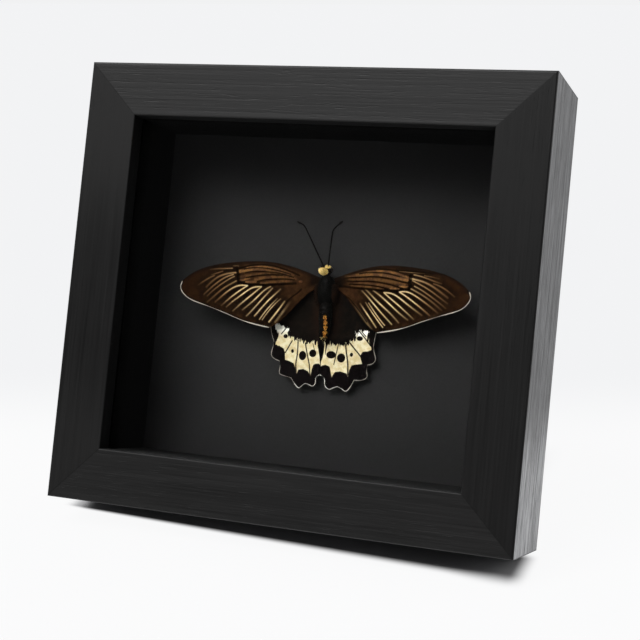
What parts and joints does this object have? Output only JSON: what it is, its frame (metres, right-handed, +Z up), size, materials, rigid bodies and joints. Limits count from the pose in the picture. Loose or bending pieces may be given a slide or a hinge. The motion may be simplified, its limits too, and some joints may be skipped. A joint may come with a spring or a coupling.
{
  "type": "butterfly display case",
  "caption": "Deep black wooden box frame with a glass front, a dark card inside and a spread swallowtail butterfly set on it, standing back on a hinged strut.",
  "frame": {"origin": "middle of the standing case's footprint, on the floor, half way between the front of the frame's lower edge and the back of the strut's foot", "axes": "+Z up, the glass faces -Y and leans back 16.7 degrees, +X to the viewer's right"},
  "size_m": [0.2, 0.1148, 0.1916],
  "materials": {
    "stained_wood": "black stain over open grain, satin",
    "spacer_wood": "matt black paint",
    "glass": "clear polished",
    "black_card": "matt black",
    "hardboard": "smooth pressed fibre, bare",
    "plated_steel": "nickel plate, satin",
    "bright_steel": "bare, slightly dull",
    "pad_rubber": "matt",
    "foam": "fine-celled foam, matt",
    "dark_fur": "short dense hairs",
    "banded_fur": "short hairs, an orange band along the middle",
    "pale_fur": "cream hairs",
    "eye": "glossy",
    "feeler": "matt black",
    "forewing_scales": "matt scales, pale streaks between dark veins",
    "hindwing_scales": "matt scales, cream band on black"
  },
  "bodies": {
    "case": {"top_rail": "stained_wood", "bottom_rail": "stained_wood", "left_stile": "stained_wood", "right_stile": "stained_wood", "spacer_top": "spacer_wood", "spacer_bottom": "spacer_wood", "spacer_left": "spacer_wood", "spacer_right": "spacer_wood", "glass_pane": "glass", "display_card": "black_card", "back_panel": "hardboard", "turn_button_screws": "plated_steel", "sawtooth_hanger": "plated_steel", "strut_hinge_plate": "plated_steel", "corner_v_nails": "bright_steel", "hanger_nails": "bright_steel", "hinge_plate_screws": "bright_steel", "wall_pads": "pad_rubber", "setting_block": "foam", "thorax": "dark_fur", "abdomen": "banded_fur", "head": "pale_fur", "eyes": "eye", "antenna_left": "feeler", "antenna_right": "feeler", "forewing_left": "forewing_scales", "forewing_right": "forewing_scales", "hindwing_left": "hindwing_scales", "hindwing_right": "hindwing_scales"},
    "strut": {"strut_leg": "stained_wood", "strut_hinge_leaf": "plated_steel", "strut_hinge_pin": "bright_steel", "strut_rivets": "bright_steel"},
    "turn_button_upper_left": {"turn_button_upper_left": "plated_steel"},
    "turn_button_upper_right": {"turn_button_upper_right": "plated_steel"},
    "turn_button_lower_left": {"turn_button_lower_left": "plated_steel"},
    "turn_button_lower_right": {"turn_button_lower_right": "plated_steel"}
  },
  "joints": [
    {"name": "strut_hinge", "type": "hinge", "parent": "case", "child": "strut", "pos_m": [0, 0.02455, 0.11217], "axis": [-1, 0, 0], "range_deg": [0, 30]},
    {"name": "button_turn_upper_left", "type": "hinge", "parent": "case", "child": "turn_button_upper_left", "pos_m": [-0.092, 0.029, 0.13275], "axis": [0, 0.9578, -0.2874], "continuous": true},
    {"name": "button_turn_upper_right", "type": "hinge", "parent": "case", "child": "turn_button_upper_right", "pos_m": [0.092, 0.029, 0.13275], "axis": [0, 0.9578, -0.2874], "continuous": true},
    {"name": "button_turn_lower_left", "type": "hinge", "parent": "case", "child": "turn_button_lower_left", "pos_m": [-0.092, 0.00257, 0.04464], "axis": [0, 0.9578, -0.2874], "continuous": true},
    {"name": "button_turn_lower_right", "type": "hinge", "parent": "case", "child": "turn_button_lower_right", "pos_m": [0.092, 0.00257, 0.04464], "axis": [0, 0.9578, -0.2874], "continuous": true}
  ]
}
